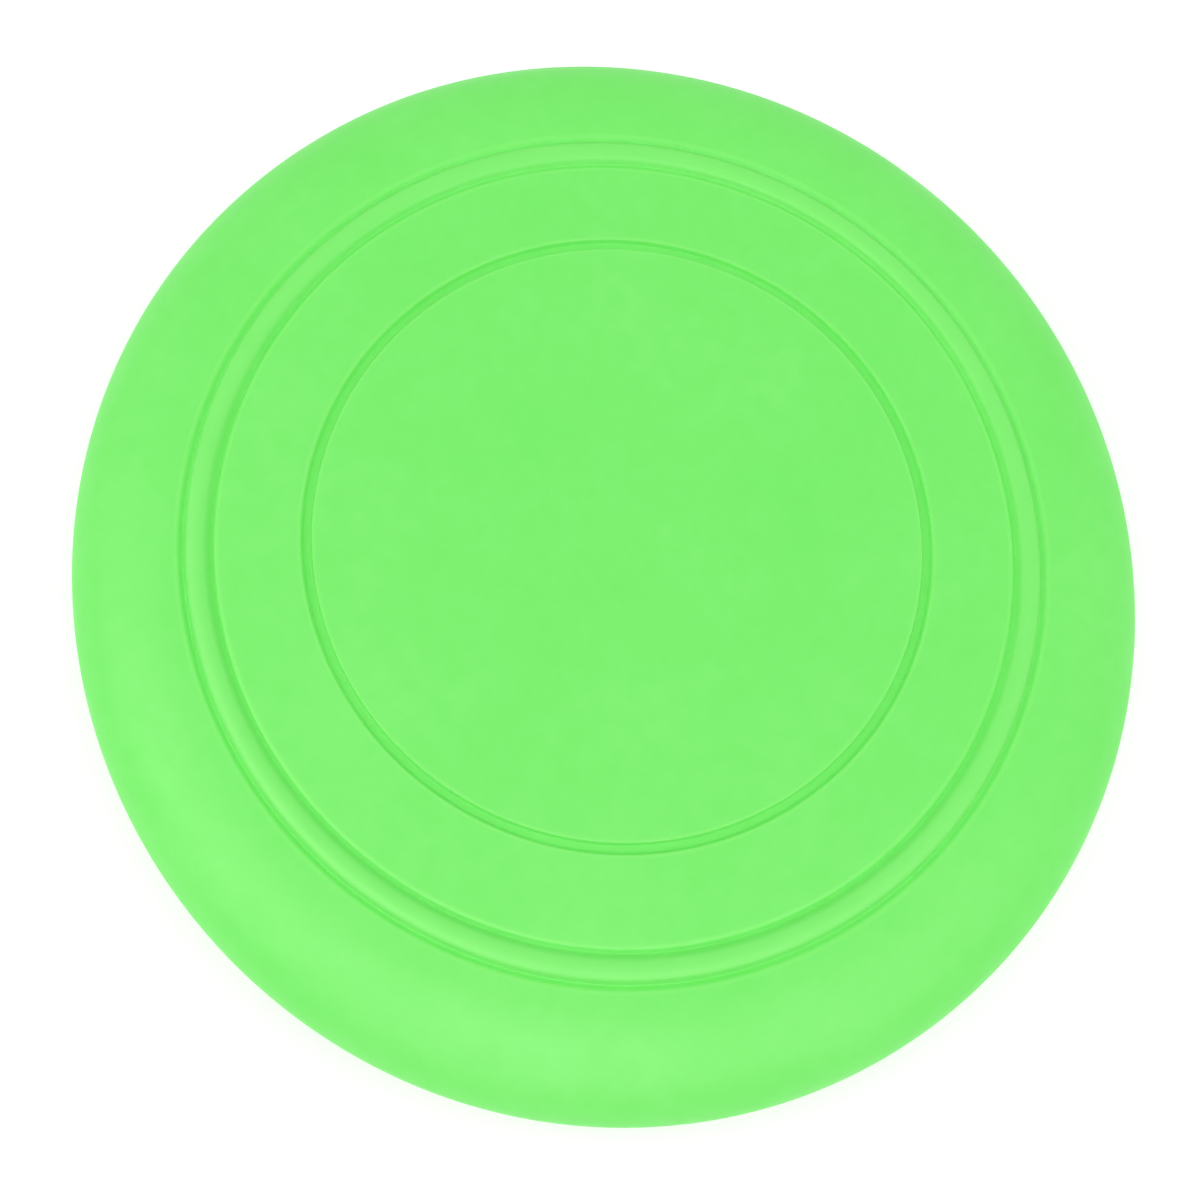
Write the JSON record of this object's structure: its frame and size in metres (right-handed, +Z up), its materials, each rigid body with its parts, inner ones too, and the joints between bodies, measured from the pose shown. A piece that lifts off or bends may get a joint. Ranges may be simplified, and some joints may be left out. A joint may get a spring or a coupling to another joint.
{
  "type": "flying disc",
  "caption": "Soft round flying disc with a flat centre panel inside a fine channel, a low round grip bead between two creases, and a broad shoulder that rolls over into a deep hanging rim.",
  "frame": {"origin": "centre of the plane that the rim's foot rests on, on the disc's axis", "axes": "+Z up along the disc's axis, towards the side that faces up in flight; X and Y are equal in the plane of the disc"},
  "size_m": [0.18, 0.18, 0.022],
  "materials": {
    "silicone": "matte"
  },
  "bodies": {
    "root": {"disc": "silicone"}
  },
  "joints": []
}
